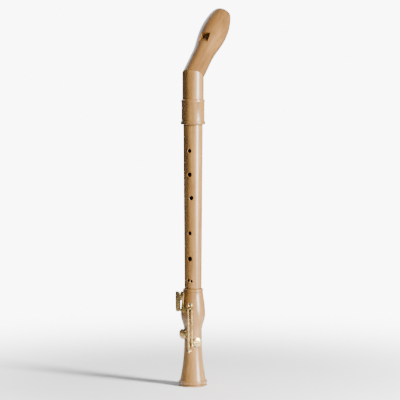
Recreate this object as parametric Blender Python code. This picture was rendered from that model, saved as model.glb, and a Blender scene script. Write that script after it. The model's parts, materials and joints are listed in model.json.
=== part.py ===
"""Tenor recorder with a bent neck and two keys on the foot joint.

The recorder stands on its foot, +Z along the bore, with the finger holes facing -Y and the head
bent back towards +Y. Angles round the body are measured from the front, positive towards +X.
Angles round the head are measured the same way, in the head's own bent frame.
"""

import math

import bmesh
import bpy
from mathutils import Matrix, Vector

MM = 0.001

# Clearances
SEAT_GAP = 0.3 * MM
TURN_STEPS = 40
SMALL_STEPS = 18

# Foot joint: heights from its end, and outer radii
FOOT_LENGTH = 152.0 * MM
FOOT_RIM_RADIUS = 22.0 * MM
FOOT_RIM_HEIGHT = 2.4 * MM
FOOT_GROOVE_DEPTH = 0.9 * MM
FOOT_GROOVE_WIDTH = 1.0 * MM
FOOT_RING_HEIGHT = 5.2 * MM
FOOT_RING_PROUD = 0.2 * MM
FOOT_BELL_RADIUS = 20.4 * MM
FOOT_WAIST_RADIUS = 13.8 * MM
FOOT_WAIST_HEIGHT = 72.0 * MM
FOOT_FLANK_HEIGHT = 86.5 * MM
FOOT_BULGE_HEIGHT = 111.5 * MM
FOOT_BULGE_RADIUS = 19.2 * MM
FOOT_COLLAR_HEIGHT = 144.0 * MM
FOOT_COLLAR_RADIUS = 15.8 * MM
FOOT_COLLAR_GROOVE = 147.0 * MM
BELL_EASE = 1.95

# Bore of the foot
FOOT_BORE_TOP_RADIUS = 8.6 * MM
FOOT_BORE_WAIST_RADIUS = 7.9 * MM
FOOT_BORE_END_RADIUS = 9.6 * MM
FOOT_SOCKET_RADIUS = 12.2 * MM
FOOT_SOCKET_DEPTH = 25.0 * MM

# Middle joint
MIDDLE_LENGTH = 254.6 * MM
MIDDLE_LOW_RADIUS = 13.4 * MM
MIDDLE_TOP_RADIUS = 15.3 * MM
MIDDLE_BORE_LOW_RADIUS = 8.6 * MM
MIDDLE_BORE_TOP_RADIUS = 11.4 * MM
LOWER_TENON_LENGTH = 24.0 * MM
UPPER_TENON_LENGTH = 31.0 * MM
TENON_LAND = 3.0 * MM
CORK_GROOVE_DEPTH = 1.0 * MM
TENON_PLAY = 0.45 * MM
EDGE = 0.6 * MM

# Finger holes: height above the lower shoulder, angle from the front, diameter
FINGER_HOLES = {
    "hole_1": (214.4 * MM, 0.0, 6.5 * MM),
    "hole_2": (177.6 * MM, 0.0, 7.4 * MM),
    "hole_3": (141.6 * MM, 11.0, 7.0 * MM),
    "hole_4": (86.8 * MM, 0.0, 6.4 * MM),
    "hole_5": (46.8 * MM, 0.0, 8.0 * MM),
    "hole_6_large": (13.6 * MM, -10.5, 5.0 * MM),
    "hole_6_small": (12.0 * MM, 12.0, 4.0 * MM),
    "thumb_hole": (226.5 * MM, 180.0, 7.6 * MM),
}
HOLE_BREAK = 0.5 * MM

# Neck section of the head
NECK_LENGTH = 76.7 * MM
NECK_RADIUS = 16.8 * MM
NECK_SOCKET_RADIUS = 14.3 * MM
NECK_SOCKET_DEPTH = 31.4 * MM
NECK_RING_RADIUS = 19.4 * MM
NECK_RING_HEIGHT = 5.6 * MM
NECK_BARREL_RADIUS = 18.0 * MM
NECK_BARREL_HEIGHT = 33.8 * MM
NECK_BEAD_RADIUS = 18.6 * MM
NECK_BEAD_HEIGHT = 4.8 * MM
BEND_ANGLE = 52.0

# Beak section of the head: distances along the bent axis from the middle of the mitre
HEAD_BORE_RADIUS = 12.3 * MM
HEAD_LENGTH = 153.0 * MM
SWELL_START = 46.0 * MM
SWELL_END = 106.0 * MM
SWELL_RADIUS = 21.8 * MM
DOME_LENGTH = 66.0 * MM
DOME_START = 108.0 * MM
TIP_ROUNDING = 1.2 * MM
BEAK_CUT_START = 102.0 * MM
BEAK_CUT_HOLLOW = 4.0 * MM
BEAK_LIP_DROP = 2.0 * MM

# Voicing
BLOCK_LINE = 83.0 * MM
WINDOW_LENGTH = 6.0 * MM
WINDOW_WIDTH = 14.5 * MM
WINDWAY_WIDTH = 14.1 * MM
WINDWAY_EXIT_HEIGHT = 1.0 * MM
WINDWAY_ENTRY_HEIGHT = 1.5 * MM
RAMP_WIDTH = 15.5 * MM
RAMP_ANGLE = 17.0
LABIUM_THICKNESS = 0.6 * MM

# Key rods: both lean in by the same angle towards the foot's end
ROD_ANGLE = 2.0
ROD_TOP_REACH = 21.9 * MM
ROD_LOW_REACH = 18.7 * MM
ROD_SPACING = 5.4 * MM
ROD_SPACING_ANGLE = 9.5
AXLE_RADIUS = 0.85 * MM
TUBE_WALL = 0.45 * MM
PILLAR_HEAD_RADIUS = 2.4 * MM
PILLAR_FLANGE_RADIUS = 2.2 * MM
PILLAR_FLANGE_HEIGHT = 0.7 * MM
PILLAR_NECK_RADIUS = 1.2 * MM
PILLAR_SHANK_RADIUS = 1.2 * MM
PILLAR_SHANK_LENGTH = 3.6 * MM
PILLAR_SEAT_DEPTH = 0.6 * MM
C_LOWER_PILLAR = 55.0 * MM
C_UPPER_PILLAR = 126.5 * MM
C_SHARP_LOWER_PILLAR = 64.8 * MM
C_SHARP_UPPER_PILLAR = 127.6 * MM
NEEDLE_RADIUS = 0.4 * MM
NEEDLE_LENGTH = 15.0 * MM
HOOK_WIDTH = 1.0 * MM
HOOK_LENGTH = 2.4 * MM

# Tone holes and cups
SEAT_REACH = 12.6 * MM
SEAT_RADIUS = 10.4 * MM
PAD_THICKNESS = 2.8 * MM
PAD_PROUD = 1.6 * MM
CUP_WALL = 0.8 * MM
CUP_CROWN = 0.5 * MM
C_HOLE_HEIGHT = 81.9 * MM
C_HOLE_ANGLE = -41.0
C_HOLE_RADIUS = 4.6 * MM
C_CUP_RADIUS = 8.1 * MM
C_KEY_OPEN = 11.0
C_SHARP_HOLE_HEIGHT = 69.4 * MM
C_SHARP_HOLE_ANGLE = 47.5
C_SHARP_HOLE_RADIUS = 4.0 * MM
C_SHARP_CUP_RADIUS = 7.3 * MM
C_SHARP_KEY_LIFT = 14.0

# Touches, arms and the stop heel, all placed as the closed keys hold them
STRAP_WIDTH = 3.0 * MM
STRAP_THICKNESS = 1.4 * MM
TOUCH_THICKNESS = 1.5 * MM
TOUCH_CROWN = 0.7 * MM
C_TOUCH_REACH = 22.2 * MM
C_TOUCH_ANGLE = -50.0
C_TOUCH_WIDTH = 14.8 * MM
C_TOUCH_HEIGHT = 32.0 * MM
C_TOUCH_MIDDLE = 133.0 * MM
C_ARM_HEIGHT = 118.5 * MM
C_SHARP_TOUCH_REACH = 25.6 * MM
C_SHARP_TOUCH_ANGLE = -17.5
C_SHARP_TOUCH_WIDTH = 7.0 * MM
C_SHARP_TOUCH_HEIGHT = 15.0 * MM
C_SHARP_TOUCH_MIDDLE = 142.5 * MM
C_SHARP_ARM_HEIGHT = 123.2 * MM
ARM_OVER_TUBE = 1.9 * MM
HEEL_HEIGHT = 82.5 * MM
HEEL_OFFSET = 0.4 * MM
HEEL_WIDTH = 2.2 * MM
HEEL_CORK_THICKNESS = 1.4 * MM

# Sizes worked out from those above
TUBE_BORE = AXLE_RADIUS + SEAT_GAP
TUBE_RADIUS = TUBE_BORE + TUBE_WALL
BLOCK_RADIUS = HEAD_BORE_RADIUS - SEAT_GAP
MIDDLE_START = FOOT_LENGTH + SEAT_GAP
NECK_START = MIDDLE_START + MIDDLE_LENGTH + SEAT_GAP
MITRE_HEIGHT = NECK_START + NECK_LENGTH
CUTTER_REACH = 2.0 * FOOT_RIM_RADIUS


# Scene and materials

def clear_scene():
    """Remove what the opened file holds."""
    for obj in list(bpy.data.objects):
        bpy.data.objects.remove(obj, do_unlink=True)


def finish(name, colour, roughness, metallic):
    """Return a Principled material of one colour."""
    material = bpy.data.materials.new(name)
    material.use_nodes = True
    shader = material.node_tree.nodes["Principled BSDF"]
    shader.inputs["Base Color"].default_value = (*colour, 1.0)
    shader.inputs["Roughness"].default_value = roughness
    shader.inputs["Metallic"].default_value = metallic
    material.diffuse_color = (*colour, 1.0)
    return material


FINISHES = {
    "pearwood": ((0.50, 0.29, 0.17), 0.42, 0.0),
    "cedar": ((0.55, 0.27, 0.16), 0.65, 0.0),
    "cork": ((0.56, 0.40, 0.24), 0.9, 0.0),
    "brass": ((0.80, 0.62, 0.34), 0.28, 1.0),
    "steel": ((0.50, 0.50, 0.52), 0.3, 1.0),
    "blued_steel": ((0.12, 0.14, 0.22), 0.35, 1.0),
    "pad_leather": ((0.80, 0.72, 0.60), 0.8, 0.0),
}


# Places

def around(angle, reach, height):
    """Return the point at an angle from the front, a reach from the axis and a height."""
    turn = math.radians(angle)
    return Vector((reach * math.sin(turn), -reach * math.cos(turn), height))


def outward_frame(angle, height):
    """Return a frame on the body axis whose Z points outwards at the angle, with Y up the body."""
    out = around(angle, 1.0, 0.0)
    up = Vector((0.0, 0.0, 1.0))
    side = up.cross(out)
    rotation = Matrix((side, up, out)).transposed()
    return Matrix.Translation((0.0, 0.0, height)) @ rotation.to_4x4()


def smoothstep(share):
    """Return the S-curve from 0 to 1 for a share from 0 to 1."""
    return share * share * (3.0 - 2.0 * share)


def blend(start, end, share):
    """Return the value at a share of the way from start to end."""
    return start + (end - start) * share


# Mesh makers

def add_object(name, bm, frame, material, parent=None):
    """Make an object from a bmesh, placed at a frame and hung on a parent."""
    bmesh.ops.recalc_face_normals(bm, faces=bm.faces)
    mesh = bpy.data.meshes.new(name)
    bm.to_mesh(mesh)
    bm.free()
    mesh.shade_smooth()
    mesh.set_sharp_from_angle(angle=math.radians(35.0))
    obj = bpy.data.objects.new(name, mesh)
    bpy.context.scene.collection.objects.link(obj)
    if material:
        own = finish(name, *FINISHES[material])
        mesh.materials.append(own)
    if parent:
        obj.parent = parent
        obj.matrix_parent_inverse = parent.matrix_world.inverted()
    obj.matrix_world = frame
    return obj


def turned(outline, steps=TURN_STEPS):
    """Return a bmesh of a closed outline of (radius, height) points turned about Z."""
    bm = bmesh.new()
    ring = [bm.verts.new((radius, 0.0, height)) for radius, height in outline]
    edges = [bm.edges.new((a, b)) for a, b in zip(ring, ring[1:] + ring[:1])
             if max(a.co.x, b.co.x) > 1e-7]
    bmesh.ops.spin(bm, geom=ring + edges, cent=(0, 0, 0), axis=(0, 0, 1),
                   angle=math.tau, steps=steps, use_merge=True, use_duplicate=False)
    bmesh.ops.remove_doubles(bm, verts=bm.verts, dist=1e-6)
    return bm


def lofted(sections):
    """Return a bmesh that joins closed sections of equal point count and caps both ends."""
    bm = bmesh.new()
    rings = [[bm.verts.new(point) for point in section] for section in sections]
    for low, high in zip(rings, rings[1:]):
        for i in range(len(low)):
            j = (i + 1) % len(low)
            bm.faces.new((low[i], low[j], high[j], high[i]))
    bm.faces.new(rings[0][::-1])
    bm.faces.new(rings[-1])
    return bm


def box(low, high):
    """Return a bmesh of a box between two corners."""
    bm = bmesh.new()
    size = Vector(high) - Vector(low)
    centre = (Vector(high) + Vector(low)) / 2.0
    matrix = Matrix.Translation(centre) @ Matrix.Diagonal((*size, 1.0))
    bmesh.ops.create_cube(bm, size=1.0, matrix=matrix)
    return bm


def strap(stations, width, thickness):
    """Return a bmesh of a flat bar along stations of (point, normal), its edges broken."""
    points = [point for point, _ in stations]
    sections = []
    for i, (point, normal) in enumerate(stations):
        ahead = points[min(i + 1, len(points) - 1)]
        behind = points[max(i - 1, 0)]
        side = (ahead - behind).cross(normal).normalized()
        half, deep = width / 2.0, thickness / 2.0
        cut = deep * 0.5
        corners = ((-half, -deep), (half, -deep), (half, deep - cut), (half - cut, deep),
                   (cut - half, deep), (-half, deep - cut))
        sections.append([point + side * a + normal * b for a, b in corners])
    return lofted(sections)


def rounded_plate(width, height, thickness, crown, place, count=8):
    """Return a bmesh of a plate with bowed sides; place maps (across, along, out) to a point."""
    bm = bmesh.new()
    bow = 0.62

    def grid(lift):
        rows = []
        for j in range(count + 1):
            v = 2.0 * j / count - 1.0
            row = []
            for i in range(count + 1):
                u = 2.0 * i / count - 1.0
                across = u * math.sqrt(1.0 - bow * v * v / 2.0)
                along = v * math.sqrt(1.0 - bow * u * u / 2.0)
                dome = crown * (1.0 - u * u) * (1.0 - v * v)
                out = lift + (dome if lift > 0.0 else 0.0)
                row.append(bm.verts.new(place(across * width / 2.0, along * height / 2.0, out)))
            rows.append(row)
        return rows

    under, over = grid(0.0), grid(thickness)
    for rows, flip in ((under, True), (over, False)):
        for j in range(count):
            for i in range(count):
                quad = [rows[j][i], rows[j][i + 1], rows[j + 1][i + 1], rows[j + 1][i]]
                bm.faces.new(quad[::-1] if flip else quad)
    border = [(0, i) for i in range(count)] + [(i, count) for i in range(count)]
    border += [(count, i) for i in range(count, 0, -1)] + [(i, 0) for i in range(count, 0, -1)]
    for (j, i), (m, k) in zip(border, border[1:] + border[:1]):
        bm.faces.new((under[j][i], under[m][k], over[m][k], over[j][i]))
    return bm


def cut(target, bm, frame, name):
    """Cut a shape out of an object with a Boolean, keeping the cutter as a hidden wire."""
    cutter = add_object(f"{target.name}_{name}", bm, frame, None, target.parent)
    cutter.hide_render = True
    cutter.display_type = "WIRE"
    boolean = target.modifiers.new(name, "BOOLEAN")
    boolean.operation = "DIFFERENCE"
    boolean.solver = "EXACT"
    boolean.object = cutter


def pivot(name, frame, parent=None):
    """Make an empty at a frame, to carry the pieces of one moving body."""
    empty = bpy.data.objects.new(name, None)
    empty.empty_display_size = 20.0 * MM
    bpy.context.scene.collection.objects.link(empty)
    empty.parent = parent
    bpy.context.view_layer.update()
    empty.matrix_world = frame
    bpy.context.view_layer.update()
    return empty


# Turned outlines

def bell_radius(height):
    """Return the foot's outer radius on the bell, between the rings and the waist."""
    start = FOOT_RIM_HEIGHT + FOOT_GROOVE_WIDTH + FOOT_RING_HEIGHT
    share = min(max((height - start) / (FOOT_WAIST_HEIGHT - start), 0.0), 1.0)
    return FOOT_WAIST_RADIUS + (FOOT_BELL_RADIUS - FOOT_WAIST_RADIUS) * (1.0 - share) ** BELL_EASE


def foot_radius(height):
    """Return the foot's outer radius at a height between its rings and its collar."""
    if height < FOOT_FLANK_HEIGHT:
        return bell_radius(height)
    if height < FOOT_BULGE_HEIGHT:
        share = (height - FOOT_FLANK_HEIGHT) / (FOOT_BULGE_HEIGHT - FOOT_FLANK_HEIGHT)
        return blend(FOOT_WAIST_RADIUS, FOOT_BULGE_RADIUS, smoothstep(share))
    share = (height - FOOT_BULGE_HEIGHT) / (FOOT_COLLAR_HEIGHT - FOOT_BULGE_HEIGHT)
    drop = math.cos(math.pi / 2.0 * min(share, 1.0))
    return FOOT_COLLAR_RADIUS + (FOOT_BULGE_RADIUS - FOOT_COLLAR_RADIUS) * drop


def steps_between(low, high, count):
    """Return evenly spaced values from low to high, both included."""
    return [blend(low, high, i / count) for i in range(count + 1)]


def bead(radius, low, high, rise, count=4):
    """Return outline points of a round bead that stands out by rise between two heights."""
    points = []
    for i in range(count + 1):
        turn = math.pi * i / count
        lift = rise * math.sin(turn)
        points.append((radius + lift, blend(low, high, (1.0 - math.cos(turn)) / 2.0)))
    return points


def foot_outline():
    """Return the foot's outline, from the end of the bore out and up to the socket."""
    groove = FOOT_RIM_HEIGHT
    ring = groove + FOOT_GROOVE_WIDTH
    bell = ring + FOOT_RING_HEIGHT
    valley = FOOT_RIM_RADIUS - FOOT_GROOVE_DEPTH
    outline = [(FOOT_BORE_END_RADIUS, 0.0), (FOOT_RIM_RADIUS - EDGE, 0.0), (FOOT_RIM_RADIUS, EDGE)]
    outline += [(FOOT_RIM_RADIUS, groove - EDGE), (valley, groove), (valley, ring)]
    outline += bead(valley + EDGE, ring, bell, FOOT_RING_PROUD + FOOT_GROOVE_DEPTH - EDGE, 5)[1:-1]
    outline += [(bell_radius(z), z) for z in steps_between(bell, FOOT_WAIST_HEIGHT, 8)]
    flank = steps_between(FOOT_FLANK_HEIGHT, FOOT_BULGE_HEIGHT, 7)
    crown = steps_between(FOOT_BULGE_HEIGHT, FOOT_COLLAR_HEIGHT, 6)[1:]
    outline += [(foot_radius(z), z) for z in flank + crown]
    notch = FOOT_COLLAR_GROOVE
    outline += [(FOOT_COLLAR_RADIUS, notch - EDGE), (FOOT_COLLAR_RADIUS - EDGE, notch)]
    outline += [(FOOT_COLLAR_RADIUS, notch + EDGE), (FOOT_COLLAR_RADIUS, FOOT_LENGTH - EDGE)]
    outline += [(FOOT_COLLAR_RADIUS - EDGE, FOOT_LENGTH), (FOOT_SOCKET_RADIUS, FOOT_LENGTH)]
    floor = FOOT_LENGTH - FOOT_SOCKET_DEPTH
    outline += [(FOOT_SOCKET_RADIUS, floor), (FOOT_BORE_TOP_RADIUS, floor)]
    outline += [(FOOT_BORE_WAIST_RADIUS, FOOT_WAIST_HEIGHT)]
    return outline


def tenon_points(radius, start, length, direction):
    """Return outline points of a tenon with its cork groove, from the shoulder outwards."""
    groove = radius - CORK_GROOVE_DEPTH
    near = start + direction * TENON_LAND
    far = start + direction * (length - TENON_LAND)
    end = start + direction * length
    return [(radius, start), (radius, near), (groove, near), (groove, far), (radius, far),
            (radius, end - direction * EDGE), (radius - EDGE, end)]


def middle_outline():
    """Return the middle joint's outline, with its lower shoulder at height 0."""
    low_tenon = FOOT_SOCKET_RADIUS - TENON_PLAY
    top_tenon = NECK_SOCKET_RADIUS - TENON_PLAY
    outline = [(MIDDLE_BORE_LOW_RADIUS, -LOWER_TENON_LENGTH)]
    outline += tenon_points(low_tenon, 0.0, LOWER_TENON_LENGTH, -1.0)[::-1]
    outline += [(MIDDLE_LOW_RADIUS - EDGE, 0.0), (MIDDLE_LOW_RADIUS, EDGE)]
    outline += [(MIDDLE_TOP_RADIUS, MIDDLE_LENGTH - EDGE), (MIDDLE_TOP_RADIUS - EDGE, MIDDLE_LENGTH)]
    outline += tenon_points(top_tenon, MIDDLE_LENGTH, UPPER_TENON_LENGTH, 1.0)
    outline += [(MIDDLE_BORE_TOP_RADIUS, MIDDLE_LENGTH + UPPER_TENON_LENGTH)]
    return outline


def cork_outline(socket_radius, low, high):
    """Return the outline of a cork ring that fills a tenon's groove."""
    inner = socket_radius - TENON_PLAY - CORK_GROOVE_DEPTH + SEAT_GAP
    outer = socket_radius - SEAT_GAP
    return [(inner, low + SEAT_GAP), (outer, low + SEAT_GAP), (outer, high - SEAT_GAP),
            (inner, high - SEAT_GAP)]


def neck_outline():
    """Return the neck section's outline from its lower end, past the mitre."""
    past = NECK_LENGTH + NECK_RADIUS
    ring, barrel = NECK_RING_HEIGHT, NECK_BARREL_HEIGHT
    outline = [(NECK_SOCKET_RADIUS, 0.0)]
    outline += bead(NECK_BARREL_RADIUS, 0.0, ring, NECK_RING_RADIUS - NECK_BARREL_RADIUS, 5)
    outline += bead(NECK_BARREL_RADIUS, barrel, barrel + NECK_BEAD_HEIGHT,
                    NECK_BEAD_RADIUS - NECK_BARREL_RADIUS, 4)[:-1]
    outline += [(NECK_RADIUS, barrel + NECK_BEAD_HEIGHT + EDGE), (NECK_RADIUS, past)]
    outline += [(HEAD_BORE_RADIUS, past), (HEAD_BORE_RADIUS, NECK_SOCKET_DEPTH)]
    outline += [(NECK_SOCKET_RADIUS, NECK_SOCKET_DEPTH)]
    return outline


def beak_radius(along):
    """Return the beak section's outer radius at a distance from the mitre."""
    if along < SWELL_END:
        share = min(max((along - SWELL_START) / (SWELL_END - SWELL_START), 0.0), 1.0)
        return blend(NECK_RADIUS, SWELL_RADIUS, smoothstep(share))
    share = max(along - DOME_START, 0.0) / DOME_LENGTH
    return SWELL_RADIUS * math.sqrt(1.0 - share * share)


def beak_outline():
    """Return the beak section's outline from below the mitre to the tip."""
    low = -2.0 * NECK_RADIUS
    outline = [(HEAD_BORE_RADIUS, low), (NECK_RADIUS, low)]
    outline += [(beak_radius(s), s) for s in steps_between(SWELL_START, SWELL_END, 8)]
    outline += [(beak_radius(s), s) for s in steps_between(DOME_START, HEAD_LENGTH, 9)[1:-1]]
    end = beak_radius(HEAD_LENGTH)
    for turn in (0.0, math.pi / 4.0, math.pi / 2.0):
        rounding = TIP_ROUNDING * (1.0 - math.cos(turn))
        outline.append((end - rounding, HEAD_LENGTH - TIP_ROUNDING * (1.0 - math.sin(turn))))
    outline += [(HEAD_BORE_RADIUS, HEAD_LENGTH)]
    return outline


# Frames of the head and the rods

def head_frame():
    """Return the head's frame: origin at the middle of the mitre, Z towards the beak's tip."""
    lean = Matrix.Rotation(math.radians(-BEND_ANGLE), 4, "X")
    return Matrix.Translation((0.0, 0.0, MITRE_HEIGHT)) @ lean


def mitre_frame():
    """Return a frame on the mitre plane, with Z halfway between neck and beak."""
    lean = Matrix.Rotation(math.radians(-BEND_ANGLE / 2.0), 4, "X")
    return Matrix.Translation((0.0, 0.0, MITRE_HEIGHT)) @ lean


def rod_point(height, sideways):
    """Return the point of a key rod at a height; sideways is its distance from the C rod."""
    share = (height - C_LOWER_PILLAR) / (C_UPPER_PILLAR - C_LOWER_PILLAR)
    reach = blend(ROD_LOW_REACH, ROD_TOP_REACH, share)
    step = math.radians(ROD_SPACING_ANGLE)
    offset = Vector((math.cos(step), math.sin(step), 0.0)) * sideways
    return around(ROD_ANGLE, reach, height) + offset


def rod_frame(low, high, sideways):
    """Return a rod's frame: origin at its lower pillar, Z along the rod, Y towards the body."""
    start, end = rod_point(low, sideways), rod_point(high, sideways)
    along = (end - start).normalized()
    inward = Vector((-start.x, -start.y, 0.0))
    inward = (inward - along * inward.dot(along)).normalized()
    side = inward.cross(along)
    rotation = Matrix((side, inward, along)).transposed()
    return Matrix.Translation(start) @ rotation.to_4x4()


# Foot joint

def pillar_seat(point):
    """Return the reach at which a pillar's flange sits in the wood under a rod point."""
    return foot_radius(point.z) - PILLAR_SEAT_DEPTH


def pillar_frame(point):
    """Return the frame of a pillar that stands under a rod point, Z outwards."""
    angle = math.degrees(math.atan2(point.x, -point.y))
    return outward_frame(angle, point.z)


def pillar_socket(point):
    """Return a cutter for a pillar's shank and its flange's seat."""
    seat = pillar_seat(point)
    floor = seat - PILLAR_SHANK_LENGTH
    shank = PILLAR_SHANK_RADIUS + SEAT_GAP
    flange = PILLAR_FLANGE_RADIUS + SEAT_GAP
    return turned([(0.0, floor), (shank, floor), (shank, seat), (flange, seat),
                   (flange, CUTTER_REACH), (0.0, CUTTER_REACH)], SMALL_STEPS)


def tone_hole(radius):
    """Return a cutter for a tone hole, from inside the bore to outside the wall."""
    start = FOOT_BORE_WAIST_RADIUS / 2.0
    return turned([(0.0, start), (radius, start), (radius, CUTTER_REACH), (0.0, CUTTER_REACH)], 24)


def tone_seat():
    """Return a cutter for the flat that a pad closes on."""
    return turned([(0.0, SEAT_REACH), (SEAT_RADIUS, SEAT_REACH), (SEAT_RADIUS, CUTTER_REACH),
                   (0.0, CUTTER_REACH)], 32)


def make_foot(parent, pillars):
    """Make the foot joint and drill it for the tone holes and the pillars."""
    foot = add_object("foot_joint", turned(foot_outline()), Matrix(), "pearwood", parent)
    for name, angle, height, radius in (
            ("c_tone_hole", C_HOLE_ANGLE, C_HOLE_HEIGHT, C_HOLE_RADIUS),
            ("c_sharp_tone_hole", C_SHARP_HOLE_ANGLE, C_SHARP_HOLE_HEIGHT, C_SHARP_HOLE_RADIUS)):
        frame = outward_frame(angle, height)
        cut(foot, tone_seat(), frame, f"{name}_seat")
        cut(foot, tone_hole(radius), frame, name)
    for name, point in pillars.items():
        cut(foot, pillar_socket(point), pillar_frame(point), f"{name}_socket")


def make_pillar(name, point, rod, parent):
    """Make a turned pillar with a drilled ball head round a rod."""
    reach = math.hypot(point.x, point.y)
    seat = pillar_seat(point) + SEAT_GAP
    floor = seat - PILLAR_SHANK_LENGTH + SEAT_GAP
    flange = seat + PILLAR_FLANGE_HEIGHT
    head = PILLAR_HEAD_RADIUS
    start = math.asin(PILLAR_NECK_RADIUS / head)
    outline = [(0.0, floor), (PILLAR_SHANK_RADIUS, floor), (PILLAR_SHANK_RADIUS, seat),
               (PILLAR_FLANGE_RADIUS, seat), (PILLAR_FLANGE_RADIUS, flange - EDGE / 2.0),
               (PILLAR_FLANGE_RADIUS - EDGE / 2.0, flange), (PILLAR_NECK_RADIUS, flange)]
    for i in range(7):
        turn = blend(start, math.pi, i / 6.0)
        outline.append((head * math.sin(turn) if i < 6 else 0.0, reach - head * math.cos(turn)))
    pillar = add_object(name, turned(outline, SMALL_STEPS), pillar_frame(point), "brass", parent)
    drill = turned([(0.0, -2.0 * head), (TUBE_BORE, -2.0 * head), (TUBE_BORE, 2.0 * head),
                    (0.0, 2.0 * head)], SMALL_STEPS)
    place = rod.copy()
    place.translation = point
    cut(pillar, drill, place, "axle_hole")


def make_axle(name, length, rod, parent):
    """Make the steel axle through both pillars, with a domed screw head at its upper end."""
    over = PILLAR_HEAD_RADIUS + SEAT_GAP
    head = AXLE_RADIUS * 1.7
    outline = [(0.0, -over), (AXLE_RADIUS, -over), (AXLE_RADIUS, length + over),
               (head, length + over), (head, length + over + AXLE_RADIUS / 2.0),
               (head * 0.7, length + over + AXLE_RADIUS), (0.0, length + over + AXLE_RADIUS * 1.2)]
    add_object(name, turned(outline, 12), rod, "steel", parent)


def make_needle(name, rod, parent):
    """Make a needle spring that stands on the lower pillar behind the tube."""
    depth = TUBE_RADIUS + SEAT_GAP + NEEDLE_RADIUS
    clear = PILLAR_HEAD_RADIUS + SEAT_GAP
    start = math.sqrt(clear ** 2 - (depth - NEEDLE_RADIUS) ** 2)
    low = Vector((0.0, depth, start))
    high = Vector((0.0, depth, NEEDLE_LENGTH))
    sections = []
    for centre in (low, high):
        ring = []
        for i in range(8):
            turn = math.tau * i / 8.0
            ring.append(centre + Vector((math.cos(turn), math.sin(turn), 0.0)) * NEEDLE_RADIUS)
        sections.append(ring)
    add_object(name, lofted(sections), rod, "blued_steel", parent)


# Keys

def make_tube(name, length, play, rod, parent):
    """Make a key's tube between its pillars, with the hook that its needle spring bears on."""
    end = PILLAR_HEAD_RADIUS + SEAT_GAP
    outline = [(TUBE_BORE, end), (TUBE_RADIUS, end), (TUBE_RADIUS, length - end),
               (TUBE_BORE, length - end)]
    tube = add_object(name, turned(outline, SMALL_STEPS), rod, "brass", parent)
    right = -NEEDLE_RADIUS - play
    deep = TUBE_RADIUS + SEAT_GAP + 2.0 * NEEDLE_RADIUS
    root = math.sqrt((TUBE_BORE + TUBE_WALL / 2.0) ** 2 - right ** 2)
    hook = box((right - HOOK_WIDTH, root, NEEDLE_LENGTH - HOOK_LENGTH), (right, deep, NEEDLE_LENGTH))
    helper = add_object(f"{name}_hook", hook, rod, None, parent)
    helper.hide_render = True
    helper.display_type = "WIRE"
    union = tube.modifiers.new("hook", "BOOLEAN")
    union.operation = "UNION"
    union.solver = "EXACT"
    union.object = helper


def make_cup(prefix, angle, height, radius, parent):
    """Make a key's cup and its pad, closed on the flat seat."""
    frame = outward_frame(angle, height)
    pad_low = SEAT_REACH + SEAT_GAP
    pad_top = pad_low + PAD_THICKNESS
    inside = radius - CUP_WALL
    pad_radius = inside - SEAT_GAP
    pad = [(0.0, pad_low), (pad_radius - EDGE, pad_low), (pad_radius, pad_low + EDGE),
           (pad_radius, pad_top), (0.0, pad_top)]
    add_object(f"{prefix}_pad", turned(pad, 28), frame, "pad_leather", parent)
    rim = pad_low + PAD_PROUD
    floor = pad_top + SEAT_GAP
    top = floor + CUP_WALL
    cup = [(0.0, floor), (inside, floor), (inside, rim), (radius, rim), (radius, top - CUP_WALL),
           (radius - 0.3 * CUP_WALL, top - 0.3 * CUP_WALL), (radius - CUP_WALL, top),
           (radius / 2.0, top + 0.75 * CUP_CROWN), (0.0, top + CUP_CROWN)]
    add_object(f"{prefix}_cup", turned(cup, 28), frame, "brass", parent)
    return top


def make_cup_arm(prefix, angle, height, radius, top, rod_at, parent):
    """Make the arm from a key's tube over the rim to the middle of its cup."""
    frame = outward_frame(angle, height)
    tube = frame.inverted() @ rod_at
    lift = top + CUP_CROWN + SEAT_GAP + STRAP_THICKNESS / 2.0
    hand = math.copysign(1.0, tube.x)
    shoulder = Vector((hand * (radius + SEAT_GAP), tube.y, lift))
    toward = (shoulder - tube).normalized()
    start = tube + toward * (TUBE_RADIUS + SEAT_GAP)
    inner = Vector((hand * radius * 0.4, 0.0, lift))
    points = []
    for t in steps_between(0.0, 1.0, 5):
        points.append(start * (1.0 - t) ** 2 + shoulder * (2.0 * t * (1.0 - t)) + inner * t * t)
    points.append(Vector((0.0, 0.0, lift)))
    stations = []
    for i, point in enumerate(points):
        path = points[min(i + 1, len(points) - 1)] - points[max(i - 1, 0)]
        stations.append((point, Vector((-hand * path.z, 0.0, hand * path.x)).normalized() * -1.0))
    add_object(f"{prefix}_cup_arm", strap(stations, STRAP_WIDTH, STRAP_THICKNESS), frame,
               "brass", parent)


def make_touch(name, angle, reach, width, height, middle, parent):
    """Make a touch: a crowned plate bent round the body, with rounded corners."""
    def place(across, along, out):
        turn = angle + math.degrees(across / reach)
        return around(turn, reach + out, middle + along)

    plate = rounded_plate(width, height, TOUCH_THICKNESS, TOUCH_CROWN, place)
    add_object(name, plate, Matrix(), "brass", parent)


def arm_stations(route):
    """Return strap stations on smooth curves through (angle, reach, height) points."""
    points = [around(*place) for place in route]
    stations = []
    for i in range(len(points) - 1):
        before, start = points[max(i - 1, 0)], points[i]
        end, after = points[i + 1], points[min(i + 2, len(points) - 1)]
        for k in range(3):
            t = k / 3.0
            point = 0.5 * (2.0 * start + (end - before) * t
                           + (2.0 * before - 5.0 * start + 4.0 * end - after) * t * t
                           + (3.0 * start - before - 3.0 * end + after) * t * t * t)
            stations.append(point)
    stations.append(points[-1])
    return [(point, Vector((point.x, point.y, 0.0)).normalized()) for point in stations]


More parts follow.
